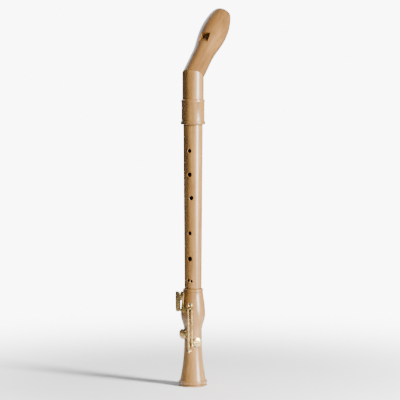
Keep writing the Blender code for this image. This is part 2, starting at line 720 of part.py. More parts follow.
def make_c_arm(rod_at, parent):
    """Make the C key's touch arm: out from the tube, then up under the touch."""
    under = C_TOUCH_REACH - SEAT_GAP - STRAP_THICKNESS / 2.0
    reach = math.hypot(rod_at.x, rod_at.y)
    clear = math.degrees((TUBE_RADIUS + SEAT_GAP) / reach)
    low = C_ARM_HEIGHT
    inner = C_TOUCH_ANGLE + math.degrees(C_TOUCH_WIDTH / reach / 4.0)
    start = ROD_ANGLE - clear
    route = [(start, reach, low), (blend(start, inner, 0.35), blend(reach, under, 0.4), low),
             (blend(start, inner, 0.75), under, low), (inner, under, low + STRAP_WIDTH),
             (inner, under, C_TOUCH_MIDDLE - STRAP_WIDTH), (inner, under, C_TOUCH_MIDDLE + STRAP_WIDTH)]
    add_object("c_key_touch_arm", strap(arm_stations(route), STRAP_WIDTH, STRAP_THICKNESS), Matrix(),
               "brass", parent)


def make_c_sharp_arm(rod_at, c_rod_at, parent):
    """Make the C sharp key's touch arm, which goes over the C key's tube and up to its touch."""
    under = C_SHARP_TOUCH_REACH - SEAT_GAP - STRAP_THICKNESS / 2.0
    reach = math.hypot(rod_at.x, rod_at.y)
    over = math.hypot(c_rod_at.x, c_rod_at.y) + TUBE_RADIUS + ARM_OVER_TUBE + STRAP_THICKNESS / 2.0
    angle = math.degrees(math.atan2(rod_at.x, -rod_at.y))
    low = C_SHARP_ARM_HEIGHT
    start_reach = reach + TUBE_RADIUS + SEAT_GAP + STRAP_THICKNESS / 2.0
    touch = C_SHARP_TOUCH_ANGLE
    route = [(angle + 4.0, start_reach, low), (angle - 2.0, start_reach + 0.2 * MM, low),
             (blend(ROD_ANGLE, angle, 0.45), over, low), (ROD_ANGLE - 4.0, over, low),
             (blend(ROD_ANGLE, touch, 0.75), max(over, under), low),
             (touch, blend(over, under, 0.5), low + STRAP_WIDTH),
             (touch, under, C_SHARP_TOUCH_MIDDLE - STRAP_WIDTH),
             (touch, under, C_SHARP_TOUCH_MIDDLE + STRAP_WIDTH)]
    add_object("c_sharp_key_touch_arm", strap(arm_stations(route), STRAP_WIDTH, STRAP_THICKNESS),
               Matrix(), "brass", parent)


def make_heel(rod, parent):
    """Make the C key's stop heel and the cork that rests on the wood while the key is open."""
    low = HEEL_HEIGHT - C_LOWER_PILLAR
    wood = math.hypot(*rod_point(HEEL_HEIGHT, 0.0).xy) - foot_radius(HEEL_HEIGHT)
    near = TUBE_RADIUS + SEAT_GAP
    cork = wood - SEAT_GAP - HEEL_CORK_THICKNESS
    left, right = HEEL_OFFSET, HEEL_OFFSET + HEEL_WIDTH
    frame = rod @ Matrix.Rotation(math.radians(-C_KEY_OPEN), 4, "Z")
    heel = box((left, near, low), (right, cork - SEAT_GAP, low + STRAP_WIDTH))
    add_object("c_key_heel", heel, frame, "brass", parent)
    pad = box((left, cork, low), (right, cork + HEEL_CORK_THICKNESS, low + STRAP_WIDTH))
    add_object("c_key_heel_cork", pad, frame, "cork", parent)


# Head

def voicing_section(width, radius, height, count=8):
    """Return a section whose one side is an arc round the head's axis, open to the front."""
    half = width / 2.0
    arc = []
    for x in steps_between(-half, half, count):
        arc.append(Vector((x, -math.sqrt(radius * radius - x * x), height)))
    top = -CUTTER_REACH
    return arc + [Vector((half, top, height)), Vector((-half, top, height))]


def windway_section(radius, height, count=8):
    """Return a section of the windway: from inside the bore out to its arched roof."""
    half = WINDWAY_WIDTH / 2.0
    inside = -HEAD_BORE_RADIUS * 0.6
    arc = [Vector((x, -math.sqrt(radius * radius - x * x), height))
           for x in steps_between(-half, half, count)]
    return arc + [Vector((half, inside, height)), Vector((-half, inside, height))]


def beak_cut():
    """Return a cutter for the hollow underside of the beak."""
    start = Vector((0.0, SWELL_RADIUS, BEAK_CUT_START))
    end = Vector((0.0, -BEAK_LIP_DROP, HEAD_LENGTH))
    chord = end - start
    radius = chord.length_squared / (8.0 * BEAK_CUT_HOLLOW) + BEAK_CUT_HOLLOW / 2.0
    normal = Vector((0.0, chord.z, -chord.y)).normalized()
    centre = (start + end) / 2.0 + normal * (radius - BEAK_CUT_HOLLOW)
    half = math.asin(chord.length / 2.0 / radius)
    middle = math.atan2(-normal.z, -normal.y)
    spare = math.radians(4.0)
    sections = []
    for side in (-1.0, 1.0):
        section = []
        for i in range(13):
            turn = blend(middle - half - spare, middle + half + spare, i / 12.0)
            section.append(Vector((side * CUTTER_REACH, centre.y + radius * math.cos(turn),
                                   centre.z + radius * math.sin(turn))))
        section.append(Vector((side * CUTTER_REACH, centre.y, centre.z)))
        sections.append(section)
    return lofted(sections)


def make_head(parent):
    """Make the two glued sections of the head and cut the mitre, the window and the windway."""
    neck_frame = Matrix.Translation((0.0, 0.0, NECK_START))
    neck = add_object("neck_section", turned(neck_outline()), neck_frame, "pearwood", parent)
    far = 4.0 * NECK_RADIUS
    half_gap = SEAT_GAP / 2.0
    above = box((-far, -far, -half_gap), (far, far, 2.0 * far))
    cut(neck, above, mitre_frame(), "mitre")
    frame = head_frame()
    beak = add_object("beak_section", turned(beak_outline()), frame, "pearwood", parent)
    below = box((-far, -far, -2.0 * far), (far, far, half_gap))
    cut(beak, below, mitre_frame(), "mitre")
    cut(beak, beak_cut(), frame, "beak_cut")
    edge = BLOCK_LINE - WINDOW_LENGTH
    labium = HEAD_BORE_RADIUS + LABIUM_THICKNESS
    rise = math.tan(math.radians(RAMP_ANGLE))
    length = (SWELL_RADIUS - labium) / rise
    lap = SEAT_GAP
    window = box((-WINDOW_WIDTH / 2.0, -CUTTER_REACH, edge),
                 (WINDOW_WIDTH / 2.0, -HEAD_BORE_RADIUS * 0.5, BLOCK_LINE))
    ramp = lofted([voicing_section(RAMP_WIDTH, labium - lap * rise, edge + lap),
                   voicing_section(RAMP_WIDTH, labium + length * rise, edge - length)])
    exit_roof = HEAD_BORE_RADIUS + WINDWAY_EXIT_HEIGHT
    entry_roof = HEAD_BORE_RADIUS + WINDWAY_ENTRY_HEIGHT
    windway = lofted([windway_section(exit_roof, BLOCK_LINE - lap),
                      windway_section(entry_roof, HEAD_LENGTH + TIP_ROUNDING)])
    cut(beak, window, frame, "window")
    cut(beak, ramp, frame, "labium_ramp")
    cut(beak, windway, frame, "windway")


def make_block(parent):
    """Make the block that fills the beak's bore, cut flush with the beak's underside."""
    tip = HEAD_LENGTH - SEAT_GAP
    outline = [(0.0, BLOCK_LINE), (BLOCK_RADIUS - EDGE, BLOCK_LINE), (BLOCK_RADIUS, BLOCK_LINE + EDGE),
               (BLOCK_RADIUS, tip), (0.0, tip)]
    block = add_object("windway_block", turned(outline), head_frame(), "cedar", parent)
    cut(block, beak_cut(), head_frame(), "beak_cut")


# Middle joint

def finger_hole(radius, wall_radius, bore_radius):
    """Return a cutter for a finger hole with a broken edge."""
    start = bore_radius / 2.0
    edge = wall_radius - HOLE_BREAK
    flare = 2.0 * HOLE_BREAK
    return turned([(0.0, start), (radius, start), (radius, edge), (radius + flare, edge + flare),
                   (radius + flare, CUTTER_REACH), (0.0, CUTTER_REACH)], 24)


def make_middle(parent):
    """Make the middle joint with its holes and the cork on both tenons."""
    frame = Matrix.Translation((0.0, 0.0, MIDDLE_START))
    middle = add_object("middle_joint", turned(middle_outline()), frame, "pearwood", parent)
    for name, (height, angle, diameter) in FINGER_HOLES.items():
        share = height / MIDDLE_LENGTH
        wall = blend(MIDDLE_LOW_RADIUS, MIDDLE_TOP_RADIUS, share)
        bore = blend(MIDDLE_BORE_LOW_RADIUS, MIDDLE_BORE_TOP_RADIUS, share)
        hole = finger_hole(diameter / 2.0, wall, bore)
        cut(middle, hole, outward_frame(angle, MIDDLE_START + height), name)
    low, high = TENON_LAND - LOWER_TENON_LENGTH, -TENON_LAND
    add_object("lower_tenon_cork", turned(cork_outline(FOOT_SOCKET_RADIUS, low, high)), frame,
               "cork", parent)
    low, high = MIDDLE_LENGTH + TENON_LAND, MIDDLE_LENGTH + UPPER_TENON_LENGTH - TENON_LAND
    add_object("upper_tenon_cork", turned(cork_outline(NECK_SOCKET_RADIUS, low, high)), frame,
               "cork", parent)


# Assembly

def make_keys(root):
    """Make both keys, closed, then let the C key stand open."""
    rods = {"c_key": rod_frame(C_LOWER_PILLAR, C_UPPER_PILLAR, 0.0),
            "c_sharp_key": rod_frame(C_SHARP_LOWER_PILLAR, C_SHARP_UPPER_PILLAR, ROD_SPACING)}
    ends = {"c_key": (rod_point(C_LOWER_PILLAR, 0.0), rod_point(C_UPPER_PILLAR, 0.0)),
            "c_sharp_key": (rod_point(C_SHARP_LOWER_PILLAR, ROD_SPACING),
                            rod_point(C_SHARP_UPPER_PILLAR, ROD_SPACING))}
    swing = (TUBE_RADIUS + SEAT_GAP + 2.0 * NEEDLE_RADIUS) * math.sin(math.radians(C_SHARP_KEY_LIFT))
    play = {"c_key": SEAT_GAP, "c_sharp_key": SEAT_GAP + swing}
    pivots = {}
    for name, rod in rods.items():
        low, high = ends[name]
        length = (high - low).length
        make_pillar(f"{name}_lower_pillar", low, rod, root)
        make_pillar(f"{name}_upper_pillar", high, rod, root)
        make_axle(f"{name}_axle", length, rod, root)
        make_needle(f"{name}_needle_spring", rod, root)
        pivots[name] = pivot(f"{name}_pivot", rod, root)
        make_tube(f"{name}_tube", length, play[name], rod, pivots[name])
    c_key, c_sharp = pivots["c_key"], pivots["c_sharp_key"]
    top = make_cup("c_key", C_HOLE_ANGLE, C_HOLE_HEIGHT, C_CUP_RADIUS, c_key)
    make_cup_arm("c_key", C_HOLE_ANGLE, C_HOLE_HEIGHT, C_CUP_RADIUS, top,
                 rod_point(C_HOLE_HEIGHT, 0.0), c_key)
    top = make_cup("c_sharp_key", C_SHARP_HOLE_ANGLE, C_SHARP_HOLE_HEIGHT, C_SHARP_CUP_RADIUS, c_sharp)
    arm_height = C_SHARP_HOLE_HEIGHT + STRAP_WIDTH / 3.0
    make_cup_arm("c_sharp_key", C_SHARP_HOLE_ANGLE, C_SHARP_HOLE_HEIGHT, C_SHARP_CUP_RADIUS, top,
                 rod_point(arm_height, ROD_SPACING), c_sharp)
    make_touch("c_key_touch", C_TOUCH_ANGLE, C_TOUCH_REACH, C_TOUCH_WIDTH, C_TOUCH_HEIGHT,
               C_TOUCH_MIDDLE, c_key)
    make_touch("c_sharp_key_touch", C_SHARP_TOUCH_ANGLE, C_SHARP_TOUCH_REACH, C_SHARP_TOUCH_WIDTH,
               C_SHARP_TOUCH_HEIGHT, C_SHARP_TOUCH_MIDDLE, c_sharp)
    make_c_arm(rod_point(C_ARM_HEIGHT, 0.0), c_key)
    make_c_sharp_arm(rod_point(C_SHARP_ARM_HEIGHT, ROD_SPACING), rod_point(C_SHARP_ARM_HEIGHT, 0.0),
                     c_sharp)
    make_heel(rods["c_key"], c_key)
    c_key.matrix_world = rods["c_key"] @ Matrix.Rotation(math.radians(C_KEY_OPEN), 4, "Z")
    points = {f"{name}_{end}_pillar": point for name, pair in ends.items()
              for end, point in zip(("lower", "upper"), pair)}
    return points, rods


def stand_on_origin(root):
    """Move the root so that the middle of the box's underside is the origin."""
    bpy.context.view_layer.update()
    graph = bpy.context.evaluated_depsgraph_get()
    low, high = Vector((1e9,) * 3), Vector((-1e9,) * 3)
    for obj in bpy.context.scene.objects:
        if obj.type != "MESH" or obj.hide_render:
            continue
        solid = obj.evaluated_get(graph)
        for corner in solid.data.vertices:
            point = solid.matrix_world @ corner.co
            low = Vector(map(min, low, point))
            high = Vector(map(max, high, point))
    shift = Vector(((low.x + high.x) / -2.0, (low.y + high.y) / -2.0, -low.z))
    root.location = shift
    bpy.context.view_layer.update()
    return shift


def report(shift, rods):
    """Print where the joints are, in world metres."""
    print("body axis", [round(v, 5) for v in shift])
    for name, rod in rods.items():
        place = rod.translation + shift
        axis = -rod.col[2].to_3d()
        print(name, "pivot", [round(v, 5) for v in place], "axis", [round(v, 5) for v in axis])
    head = head_frame()
    print("head bend", [round(v, 5) for v in head.translation + shift],
          "axis", [round(v, 5) for v in head.col[2].to_3d()])


def main():
    """Build the recorder."""
    clear_scene()
    root = pivot("recorder", Matrix())
    points, rods = make_keys(root)
    make_foot(root, points)
    middle = pivot("middle_pivot", Matrix.Translation((0.0, 0.0, MIDDLE_START)), root)
    make_middle(middle)
    head = pivot("head_pivot", Matrix.Translation((0.0, 0.0, NECK_START)), middle)
    make_head(head)
    block = pivot("block_pivot", head_frame(), head)
    make_block(block)
    report(stand_on_origin(root), rods)


main()
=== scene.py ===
"""Looks of the tenor recorder: smooth wood, brass keys, studio light and the camera."""

from __future__ import annotations

import json
import logging
import math
from dataclasses import dataclass, field
from enum import Enum
from functools import cache
from typing import Any

import bmesh
import bpy
from mathutils import Matrix, Vector

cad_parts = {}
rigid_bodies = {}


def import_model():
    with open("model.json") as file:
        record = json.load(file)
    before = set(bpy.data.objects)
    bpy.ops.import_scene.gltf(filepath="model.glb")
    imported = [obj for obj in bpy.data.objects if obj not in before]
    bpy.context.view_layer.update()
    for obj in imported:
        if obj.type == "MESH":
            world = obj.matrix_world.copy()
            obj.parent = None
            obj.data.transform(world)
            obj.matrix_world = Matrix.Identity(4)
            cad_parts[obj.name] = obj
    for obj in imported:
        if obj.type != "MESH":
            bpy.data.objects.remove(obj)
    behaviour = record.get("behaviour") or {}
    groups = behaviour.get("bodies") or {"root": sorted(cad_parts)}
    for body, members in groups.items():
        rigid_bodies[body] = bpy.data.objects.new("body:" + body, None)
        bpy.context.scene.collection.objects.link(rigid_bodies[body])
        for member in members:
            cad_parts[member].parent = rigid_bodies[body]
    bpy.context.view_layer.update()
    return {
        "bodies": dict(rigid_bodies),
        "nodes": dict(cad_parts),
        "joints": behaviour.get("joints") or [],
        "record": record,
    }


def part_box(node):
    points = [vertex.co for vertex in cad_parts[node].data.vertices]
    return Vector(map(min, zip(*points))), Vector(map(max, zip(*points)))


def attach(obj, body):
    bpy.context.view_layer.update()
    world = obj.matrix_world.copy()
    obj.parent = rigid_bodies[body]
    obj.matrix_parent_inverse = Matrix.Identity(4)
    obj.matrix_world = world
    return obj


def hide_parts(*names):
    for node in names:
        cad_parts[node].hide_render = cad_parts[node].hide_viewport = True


LOG = logging.getLogger("recorder")
MM = 0.001
BEND_ANGLE = 52.0

# Mean height of a noise texture
MEAN_NOISE = 0.5

# Sockets of a Mix node set to colours, which share their names with its other kinds
MIX_FACTOR, MIX_A, MIX_B, MIX_RESULT = 0, 6, 7, 2


# Shader maths

class Value:
    """A socket of a shader tree that Python operators can work on."""

    def __init__(self, graph: "Graph", socket: bpy.types.NodeSocket) -> None:
        """Wrap a socket.

        Args:
            graph: The graph that the socket belongs to.
            socket: The output socket.
        """
        self.graph = graph
        self.socket = socket

    def maths(self, operation: str, left: Any, right: Any) -> "Value":
        """Add a Math node.

        Args:
            operation: The Math node's operation.
            left: A value or number.
            right: A value or number.

        Returns:
            The node's result.
        """
        return self.graph.node("ShaderNodeMath", {"operation": operation}, {0: left, 1: right})

    def __add__(self, other: Any) -> "Value":
        """Return self + other."""
        return self.maths("ADD", self, other)

    __radd__ = __add__

    def __mul__(self, other: Any) -> "Value":
        """Return self * other."""
        return self.maths("MULTIPLY", self, other)

    __rmul__ = __mul__

    def __sub__(self, other: Any) -> "Value":
        """Return self - other."""
        return self.maths("SUBTRACT", self, other)

    def __rsub__(self, other: Any) -> "Value":
        """Return other - self."""
        return self.maths("SUBTRACT", other, self)


class Graph:
    """The node tree of one material, with a Principled shader at its end."""

    def __init__(self, name: str) -> None:
        """Make a material.

        Args:
            name: The material's name.
        """
        self.material = bpy.data.materials.new(name)
        self.material.use_nodes = True
        self.tree = self.material.node_tree
        self.shader = self.tree.nodes["Principled BSDF"]

    def node(self, kind: str, settings: dict[str, Any] | None = None,
             inputs: dict[Any, Any] | None = None, out: Any = 0) -> Value:
        """Add a node.

        Args:
            kind: The node's type.
            settings: Properties set first; "stops" fills a colour ramp.
            inputs: Values, numbers or colours for its sockets.
            out: The output wanted, by number or name.

        Returns:
            The wanted output.
        """
        made = self.tree.nodes.new(kind)
        for key, setting in (settings or {}).items():
            if key == "stops":
                self.fill_ramp(made, setting)
            else:
                setattr(made, key, setting)
        for key, value in (inputs or {}).items():
            self.feed(made.inputs[key], value)
        return Value(self, made.outputs[out])

    @staticmethod
    def fill_ramp(made: bpy.types.Node, stops: tuple[tuple[float, tuple[float, ...]], ...]) -> None:
        """Fill a colour ramp.

        Args:
            made: The ramp node.
            stops: Places and colours, in order.
        """
        elements = made.color_ramp.elements
        while len(elements) < len(stops):
            elements.new(1.0)
        for element, (place, colour) in zip(elements, stops):
            element.position = place
            element.color = (*colour, 1.0)

    def feed(self, socket: bpy.types.NodeSocket, value: Any) -> None:
        """Link or set a socket.

        Args:
            socket: The input socket.
            value: A Value to link, or a constant.
        """
        if isinstance(value, Value):
            self.tree.links.new(value.socket, socket)
        else:
            socket.default_value = value

    def surface(self, **sockets: Any) -> bpy.types.Material:
        """Feed the Principled shader.

        Args:
            sockets: Socket names, with _ for a space, and what feeds them.

        Returns:
            The material.
        """
        for name, value in sockets.items():
            self.feed(self.shader.inputs[name.replace("_", " ")], value)
        return self.material

    def grain(self, grain: "Grain", tilt: float = 0.0) -> Value:
        """Add a noise texture drawn out along the grain.

        Args:
            grain: The noise's sizes.
            tilt: Degrees about X that bring the grain upright.

        Returns:
            Its height, 0 to 1.
        """
        return self.node("ShaderNodeTexNoise", None, {
            "Vector": self.place(tilt, (1.0, 1.0, grain.along)), "Scale": grain.scale,
            "Detail": grain.octaves, "Roughness": grain.fine})

    def ramp(self, tone: Value, *stops: tuple[float, tuple[float, ...]]) -> Value:
        """Add a colour ramp.

        Args:
            tone: Where the ramp is read.
            stops: Places and colours, in order.

        Returns:
            The colour.
        """
        return self.node("ShaderNodeValToRGB", {"stops": stops}, {"Fac": tone})

    def bump(self, height: Value, strength: float, depth: float) -> Value:
        """Add a Bump node.

        Args:
            height: The relief.
            strength: Its share, 0 to 1.
            depth: Its depth in metres.

        Returns:
            The normal.
        """
        return self.node("ShaderNodeBump", None,
                         {"Strength": strength, "Distance": depth, "Height": height})

    def place(self, tilt: float, stretch: tuple[float, float, float]) -> Value:
        """Read Object coordinates, tilted about X and stretched.

        Args:
            tilt: Degrees about X that bring the grain upright.
            stretch: Factors along the grain's own axes.

        Returns:
            The coordinates.
        """
        here = self.node("ShaderNodeTexCoord", out="Object")
        upright = self.node("ShaderNodeMapping", {"vector_type": "POINT"},
                            {"Vector": here, "Rotation": (math.radians(tilt), 0.0, 0.0)})
        return self.node("ShaderNodeVectorMath", {"operation": "MULTIPLY"},
                         {0: upright, 1: stretch})


# Finishes

@dataclass(frozen=True)
class Grain:
    """The sizes of one noise in a finish."""

    scale: float
    octaves: float
    fine: float
    along: float = 1.0


@dataclass(frozen=True)
class WoodFinish:
    """Oiled fruitwood with fine grain along the bore."""

    name: str
    dark: tuple[float, float, float]
    light: tuple[float, float, float]
    tilt: float = 0.0
    roughness: float = 0.32
    coat: float = 0.25
    coat_roughness: float = 0.28
    figure_share: float = 0.55
    streak_share: float = 0.3
    mottling: float = 0.25
    pores: float = 0.5
    soaked_pore: tuple[float, float, float, float] = (0.55, 0.42, 0.32, 1.0)
    middle_share: float = 0.45
    dark_tone: float = 0.30
    middle_tone: float = 0.52
    light_tone: float = 0.78
    figure_grain: Grain = Grain(170.0, 5.0, 0.6, 0.07)
    streak_grain: Grain = Grain(900.0, 3.0, 0.55, 0.025)
    cloud_grain: Grain = Grain(38.0, 3.0, 0.5, 0.5)
    pore_grain: Grain = Grain(1500.0, 2.0, 0.5, 0.04)
    pore_edge: float = 0.60
    pore_full: float = 0.74
    figure_relief: float = 0.4
    pore_relief: float = 0.5
    relief: float = 0.1
    relief_depth: float = 0.1 * MM
    figure_roughness: float = 0.16
    pore_roughness: float = 0.12

    def material(self) -> bpy.types.Material:
        """Make the wood.

        Returns:
            The wood's material.
        """
        graph = Graph(self.name)
        figure = graph.grain(self.figure_grain, self.tilt)
        streak = graph.grain(self.streak_grain, self.tilt)
        cloud = graph.grain(self.cloud_grain, self.tilt)
        tone = (figure * self.figure_share + streak * self.streak_share
                + cloud * self.mottling)
        colour = graph.ramp(tone, (self.dark_tone, self.dark), (self.middle_tone, self.middle()),
                            (self.light_tone, self.light))
        pore = graph.node("ShaderNodeMapRange", None, {
            "Value": graph.grain(self.pore_grain, self.tilt), "From Min": self.pore_edge,
            "From Max": self.pore_full, "To Min": 0.0, "To Max": 1.0})
        soaked = graph.node("ShaderNodeMix", {"data_type": "RGBA", "blend_type": "MULTIPLY"}, {
            MIX_FACTOR: pore * self.pores, MIX_A: colour, MIX_B: self.soaked_pore}, MIX_RESULT)
        height = figure * self.figure_relief - pore * self.pore_relief
        bump = graph.bump(height, self.relief, self.relief_depth)
        rough = (self.roughness + (figure - MEAN_NOISE) * self.figure_roughness
                 + pore * self.pore_roughness)
        return graph.surface(Base_Color=soaked, Roughness=rough, Normal=bump,
                             Coat_Weight=self.coat, Coat_Roughness=self.coat_roughness)

    def middle(self) -> tuple[float, ...]:
        """Return the colour between dark and light."""
        return tuple(a + (b - a) * self.middle_share for a, b in zip(self.dark, self.light))


@dataclass(frozen=True)
class MetalFinish:
    """Polished or plain metal with fine wear."""

    name: str
    colour: tuple[float, float, float]
    worn: tuple[float, float, float]
    roughness: float = 0.24
    worn_tone: float = 0.35
    bright_tone: float = 0.62
    cloud_grain: Grain = Grain(160.0, 4.0, 0.6)
    rub_grain: Grain = Grain(1800.0, 3.0, 0.6, 0.2)
    cloud_roughness: float = 0.2
    rub_roughness: float = 0.06
    relief: float = 0.12
    relief_depth: float = 0.1 * MM

    def material(self) -> bpy.types.Material:
        """Make the metal.

        Returns:
            The metal's material.
        """
        graph = Graph(self.name)
        cloud = graph.grain(self.cloud_grain)
        rub = graph.grain(self.rub_grain)
        colour = graph.ramp(cloud, (self.worn_tone, self.worn), (self.bright_tone, self.colour))
        rough = (self.roughness + (cloud - MEAN_NOISE) * self.cloud_roughness
                 + rub * self.rub_roughness)
        return graph.surface(Base_Color=colour, Metallic=1.0, Roughness=rough,
                             Normal=graph.bump(rub, self.relief, self.relief_depth))


@dataclass(frozen=True)
class GrainyFinish:
    """Cork or pad leather: matt, with grains of two tones."""

    name: str
    dark: tuple[float, float, float]
    light: tuple[float, float, float]
    scale: float
    relief: float = 0.4
    relief_depth: float = 0.2 * MM
    dark_tone: float = 0.3
    light_tone: float = 0.75
    cloud_coarseness: float = 0.6
    cell_share: float = 0.5
    cloud_share: float = 0.7
    roughness: float = 0.82
    cloud_roughness: float = 0.1

    def material(self) -> bpy.types.Material:
        """Make the cork or leather.

        Returns:
            The grainy material.
        """
        graph = Graph(self.name)
        cells = graph.node("ShaderNodeTexVoronoi", None, {
            "Vector": graph.place(0.0, (1.0, 1.0, 1.0)), "Scale": self.scale})
        cloud = graph.grain(Grain(self.scale * self.cloud_coarseness, 4.0, 0.6))
        tone = cells * self.cell_share + cloud * self.cloud_share
        colour = graph.ramp(tone, (self.dark_tone, self.dark), (self.light_tone, self.light))
        return graph.surface(Base_Color=colour, Roughness=self.roughness - cloud * self.cloud_roughness,
                             Normal=graph.bump(tone, self.relief, self.relief_depth))


class Finish(Enum):
    """The recorder's finishes."""

    PEARWOOD = WoodFinish("oiled_pearwood", (0.105, 0.045, 0.009), (0.33, 0.17, 0.046))
    HEADWOOD = WoodFinish("head_pearwood", (0.05, 0.021, 0.004), (0.21, 0.1, 0.026),
                          tilt=BEND_ANGLE, mottling=0.45)
    CEDAR = WoodFinish("cedar", (0.15, 0.055, 0.022), (0.36, 0.17, 0.075), tilt=BEND_ANGLE,
                       roughness=0.7, coat=0.0, pores=0.3)
    BRASS = MetalFinish("brass", (0.72, 0.52, 0.22), (0.32, 0.2, 0.06))
    STEEL = MetalFinish("steel", (0.62, 0.61, 0.59), (0.42, 0.40, 0.38), 0.32)
    BLUED = MetalFinish("blued_steel", (0.10, 0.12, 0.20), (0.06, 0.06, 0.09), 0.34)
    CORK = GrainyFinish("cork", (0.30, 0.17, 0.08), (0.62, 0.43, 0.25), 900.0)
    LEATHER = GrainyFinish("pad_leather", (0.60, 0.50, 0.38), (0.86, 0.79, 0.68), 2200.0, 0.2)
    # Dark brown for thin lines: painted shade of fine turned grooves and under the bead
    BURNT = WoodFinish("painted_groove_shade", (0.06, 0.03, 0.012), (0.13, 0.07, 0.03), roughness=0.4)


@cache
def material_of(finish: Finish) -> bpy.types.Material:
    """Return the material of a finish, made once."""
    return finish.value.material()


# Pieces

def add_piece(name: str, mesh: bpy.types.Mesh, finish: Finish, body: str,
              stands_for: tuple[str, ...] = ()) -> bpy.types.Object:
    """Put a finished mesh in the scene on its body.

    Args:
        name: The piece's name.
        mesh: Its mesh, in the row frame.
        finish: Its finish.
        body: The body that it rides on.
        stands_for: The nodes that it replaces.

    Returns:
        The piece's object.
    """
    mesh.materials.clear()
    mesh.materials.append(material_of(finish))
    piece = bpy.data.objects.new(name, mesh)
    bpy.context.scene.collection.objects.link(piece)
    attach(piece, body)
    if stands_for:
        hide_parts(*stands_for)
    LOG.info("%s on %s, %d faces", name, body, len(mesh.polygons))
    return piece


MERGE_DISTANCE = 0.001 * MM


def smooth_copy(source: bpy.types.Object, name: str, crease: float) -> bpy.types.Mesh:
    """Return a merged, smooth-shaded copy of a node's mesh.

    Args:
        source: The node.
        name: The new mesh's name.
        crease: Degrees past which an edge stays sharp.

    Returns:
        The mesh.
    """
    mesh = bpy.data.meshes.new(name)
    mesh.from_pydata([v.co[:] for v in source.data.vertices], [],
                     [p.vertices[:] for p in source.data.polygons])
    bm = bmesh.new()
    bm.from_mesh(mesh)
    bmesh.ops.remove_doubles(bm, verts=bm.verts, dist=MERGE_DISTANCE)
    bm.to_mesh(mesh)
    bm.free()
    mesh.shade_smooth()
    mesh.set_sharp_from_angle(angle=math.radians(crease))
    return mesh


@dataclass
class Assembly:
    """A body of the recorder, its nodes' finishes and the slot names listed for them."""

    frame: dict[str, Any]
    body: str
    dress: dict[str, tuple[Finish, str]]
    crease: float = 32.0

    def build(self) -> None:
        """Dress every node of the body."""
        for node, (finish, slot) in self.dress.items():
            mesh = smooth_copy(self.frame["nodes"][node], f"{node}_skin", self.crease)
            add_piece(f"{node}_skin", mesh, finish, self.body, (node,))


class KeyPart(Enum):
    """The pieces that both keys have, with their finishes."""

    TUBE = ("tube", Finish.BRASS, "brass")
    TOUCH_ARM = ("touch_arm", Finish.BRASS, "brass")
    TOUCH = ("touch", Finish.BRASS, "brass")
    CUP_ARM = ("cup_arm", Finish.BRASS, "brass")
    CUP = ("cup", Finish.BRASS, "brass")
    PAD = ("pad", Finish.LEATHER, "pad")


@dataclass
class Key(Assembly):
    """One key, with its stop heel where it has one."""

    has_heel: bool = False

    def __post_init__(self) -> None:
        """Fill in the key's pieces."""
        for part in KeyPart:
            word, finish, slot = part.value
            self.dress[f"{self.body}_{word}"] = (finish, slot)
        if self.has_heel:
            self.dress[f"{self.body}_heel"] = (Finish.BRASS, "brass")
            self.dress[f"{self.body}_heel_cork"] = (Finish.CORK, "cork")


